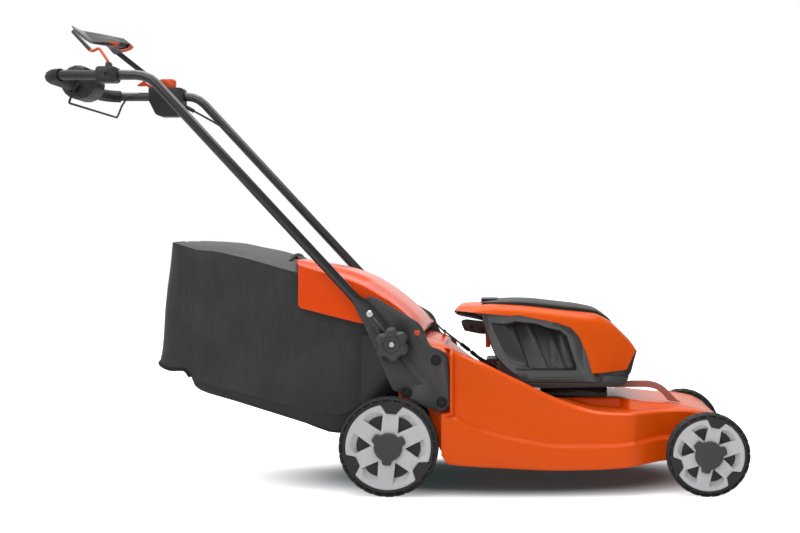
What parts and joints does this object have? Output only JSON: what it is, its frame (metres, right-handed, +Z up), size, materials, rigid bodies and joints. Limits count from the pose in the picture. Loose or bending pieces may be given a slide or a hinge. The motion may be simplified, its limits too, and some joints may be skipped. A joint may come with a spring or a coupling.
{
  "type": "cordless lawn mower",
  "caption": "Self-propelled cordless rotary mower with a pressed steel deck, folding tube handle, drive and stop bails, height lever, battery housing with a lid and a rear grass bag.",
  "frame": {"origin": "on the ground, under the middle of the mower's overall box", "axes": "+X forward along the mower, +Y to its left, +Z up"},
  "size_m": [1.7696, 0.602, 1.1735],
  "materials": {
    "black_steel": "satin powder coat",
    "blade_steel": "satin black",
    "dark_plastic": "fine-grained moulding",
    "deck_orange": "gloss paint",
    "fabric": "coarse woven",
    "flap_orange": "semi-gloss moulding",
    "grey_plastic": "fine-grained moulding",
    "part_orange": "satin moulding",
    "rim_grey": "satin moulding",
    "soft_rubber": "matt",
    "steel": "zinc plated",
    "strap": "satin moulding",
    "tyre": "matt"
  },
  "bodies": {
    "mower": {"deck_shell": "deck_orange", "discharge_chute": "dark_plastic", "blade_motor": "black_steel", "height_quadrant": "black_steel", "handle_bracket_right": "dark_plastic", "handle_bracket_left": "dark_plastic", "housing_base": "dark_plastic", "hood": "flap_orange", "battery_right": "grey_plastic", "battery_left": "grey_plastic", "motor_controller": "steel", "key_holder": "dark_plastic", "carry_strap": "strap", "flap_pin": "steel", "deck_cable": "soft_rubber"},
    "rear_axle": {"rear_axle_frame": "black_steel", "height_lever": "black_steel", "drive_gearbox": "dark_plastic", "drive_motor": "black_steel"},
    "front_axle": {"front_axle_frame": "black_steel"},
    "link": {"height_link": "steel"},
    "shaft": {"drive_shaft": "steel"},
    "wheel_rear_right": {"rear_right_tyre": "tyre", "rear_right_rim": "rim_grey", "rear_right_hub_cap": "dark_plastic"},
    "wheel_rear_left": {"rear_left_tyre": "tyre", "rear_left_rim": "rim_grey", "rear_left_hub_cap": "dark_plastic"},
    "wheel_front_right": {"front_right_tyre": "tyre", "front_right_rim": "rim_grey", "front_right_hub_cap": "dark_plastic"},
    "wheel_front_left": {"front_left_tyre": "tyre", "front_left_rim": "rim_grey", "front_left_hub_cap": "dark_plastic"},
    "spindle": {"blade": "blade_steel", "blade_adapter": "steel", "blade_bolt": "steel"},
    "handle": {"handle_tube": "black_steel", "grip_sleeve": "soft_rubber", "control_pod": "dark_plastic", "rod_clamp": "dark_plastic", "pivot_bolt_right": "steel", "pivot_bolt_left": "steel", "control_box": "dark_plastic", "handle_cable": "soft_rubber"},
    "knob_right": {"handle_knob_right": "dark_plastic"},
    "knob_left": {"handle_knob_left": "dark_plastic"},
    "drive_bail": {"drive_bail": "part_orange", "drive_paddle": "dark_plastic"},
    "stop_bail": {"stop_bail": "black_steel"},
    "start_button": {"start_button": "part_orange"},
    "speed_lever": {"speed_lever": "part_orange"},
    "lid": {"battery_lid": "grey_plastic"},
    "key": {"safety_key": "part_orange"},
    "flap": {"rear_flap": "flap_orange"},
    "bag": {"bag_fabric": "fabric", "bag_tray": "dark_plastic", "bag_frame": "dark_plastic"},
    "skirt": {"rear_skirt": "soft_rubber"}
  },
  "joints": [
    {"name": "height", "type": "hinge", "parent": "mower", "child": "rear_axle", "pos_m": [0.03655, 0, 0.15464], "axis": [0, 1, 0], "range_deg": [0, 61]},
    {"name": "front_crank", "type": "hinge", "parent": "mower", "child": "front_axle", "pos_m": [0.82055, 0, 0.13464], "axis": [0, 1, 0], "range_deg": [0, 61]},
    {"name": "link_pivot", "type": "hinge", "parent": "rear_axle", "child": "link", "pos_m": [0.01828, 0, 0.18566], "axis": [0, 1, 0], "range_deg": [-61, 0]},
    {"name": "shaft_spin", "type": "hinge", "parent": "rear_axle", "child": "shaft", "pos_m": [-0.00175, 0, 0.1225], "axis": [0, 1, 0], "continuous": true},
    {"name": "rear_right_spin", "type": "hinge", "parent": "rear_axle", "child": "wheel_rear_right", "pos_m": [-0.00175, -0.273, 0.1225], "axis": [0, 1, 0], "continuous": true},
    {"name": "rear_left_spin", "type": "hinge", "parent": "rear_axle", "child": "wheel_rear_left", "pos_m": [-0.00175, 0.273, 0.1225], "axis": [0, 1, 0], "continuous": true},
    {"name": "front_right_spin", "type": "hinge", "parent": "front_axle", "child": "wheel_front_right", "pos_m": [0.78225, -0.273, 0.1025], "axis": [0, 1, 0], "continuous": true},
    {"name": "front_left_spin", "type": "hinge", "parent": "front_axle", "child": "wheel_front_left", "pos_m": [0.78225, 0.273, 0.1025], "axis": [0, 1, 0], "continuous": true},
    {"name": "blade_spin", "type": "hinge", "parent": "mower", "child": "spindle", "pos_m": [0.46525, 0, 0.082], "axis": [0, 0, 1], "continuous": true},
    {"name": "handle_fold", "type": "hinge", "parent": "mower", "child": "handle", "pos_m": [-0.05065, 0, 0.4466], "axis": [0, 1, 0], "range_deg": [-10, 122]},
    {"name": "knob_right_turn", "type": "hinge", "parent": "handle", "child": "knob_right", "pos_m": [0.00655, -0.275, 0.3725], "axis": [0, 1, 0], "continuous": true},
    {"name": "knob_left_turn", "type": "hinge", "parent": "handle", "child": "knob_left", "pos_m": [0.00655, 0.275, 0.3725], "axis": [0, 1, 0], "continuous": true},
    {"name": "drive_bail_turn", "type": "hinge", "parent": "handle", "child": "drive_bail", "pos_m": [-0.69425, 0, 1.0625], "axis": [0, 1, 0], "range_deg": [-28, 0], "stiffness_Nm_per_rad": 1, "springref_deg": 34.38},
    {"name": "stop_bail_turn", "type": "hinge", "parent": "handle", "child": "stop_bail", "pos_m": [-0.77925, 0, 1.033], "axis": [0, 1, 0], "range_deg": [0, 24], "stiffness_Nm_per_rad": 1, "springref_deg": -28.65},
    {"name": "start_push", "type": "slide", "parent": "handle", "child": "start_button", "axis": [0, 0, -1], "range_m": [0, 0.005], "stiffness_N_per_m": 300, "springref_m": -0.002},
    {"name": "speed_turn", "type": "hinge", "parent": "handle", "child": "speed_lever", "pos_m": [-0.71625, 0.2575, 1.0562], "axis": [0, 1, 0], "range_deg": [-10, 25]},
    {"name": "lid_open", "type": "hinge", "parent": "mower", "child": "lid", "pos_m": [0.56025, 0, 0.4103], "axis": [0, 1, 0], "range_deg": [0, 75]},
    {"name": "key_pull", "type": "slide", "parent": "mower", "child": "key", "axis": [0, 0, -1], "range_m": [0, 0.03]},
    {"name": "flap_lift", "type": "hinge", "parent": "mower", "child": "flap", "pos_m": [0.06555, 0, 0.3996], "axis": [0, 1, 0], "range_deg": [0, 60], "stiffness_Nm_per_rad": 0.6, "springref_deg": -34.38},
    {"name": "bag_off", "type": "slide", "parent": "mower", "child": "bag", "axis": [-1, 0, 0], "range_m": [0, 0.6]},
    {"name": "skirt_swing", "type": "hinge", "parent": "mower", "child": "skirt", "pos_m": [-0.06375, 0, 0.215], "axis": [0, 1, 0], "range_deg": [0, 30]}
  ],
  "couplings": [
    {"joint": "front_crank", "follows": "height", "ratio": 1},
    {"joint": "link_pivot", "follows": "height", "ratio": -1}
  ]
}
